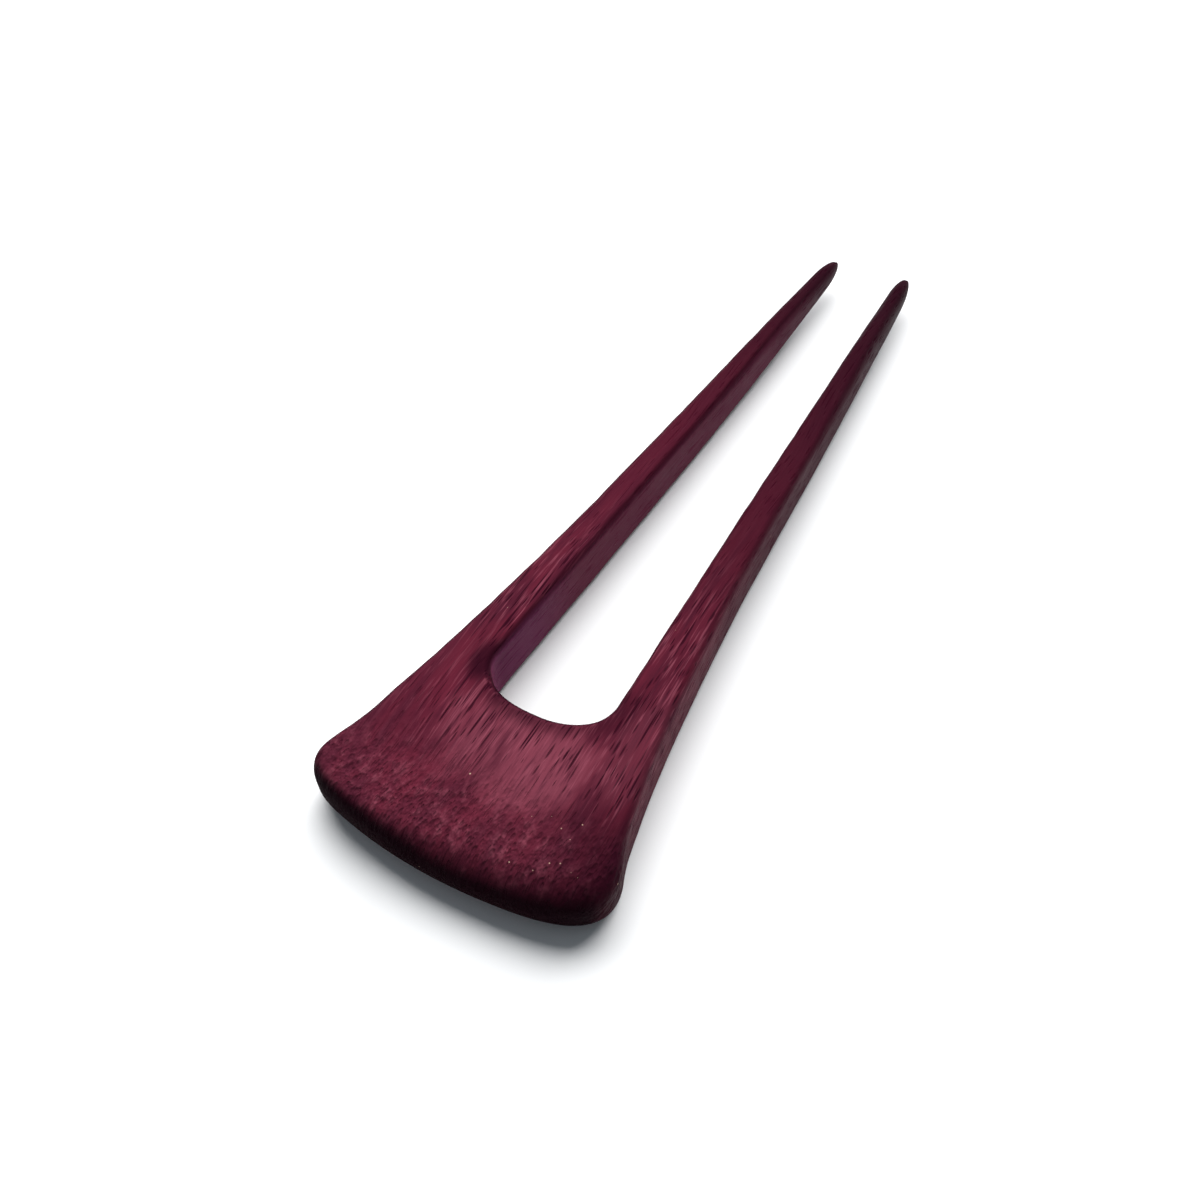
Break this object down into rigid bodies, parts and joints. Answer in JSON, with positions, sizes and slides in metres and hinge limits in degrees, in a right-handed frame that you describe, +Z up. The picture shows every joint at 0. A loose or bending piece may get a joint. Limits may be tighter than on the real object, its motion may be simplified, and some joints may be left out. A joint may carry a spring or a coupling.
{
  "type": "hair fork",
  "caption": "One-piece wooden hair fork with a flared head and tapering prongs that hold a bun or twist of hair.",
  "frame": {"origin": "middle of the fork's box, on the surface that it lies on", "axes": "+Y from the head towards the tips of the prongs, X across the head, +Z up out of the upper face"},
  "size_m": [0.0362, 0.134, 0.0073],
  "materials": {
    "purpleheart": "oiled satin purpleheart with the grain along the prongs"
  },
  "bodies": {
    "root": {"hair_fork": "purpleheart"}
  },
  "joints": []
}
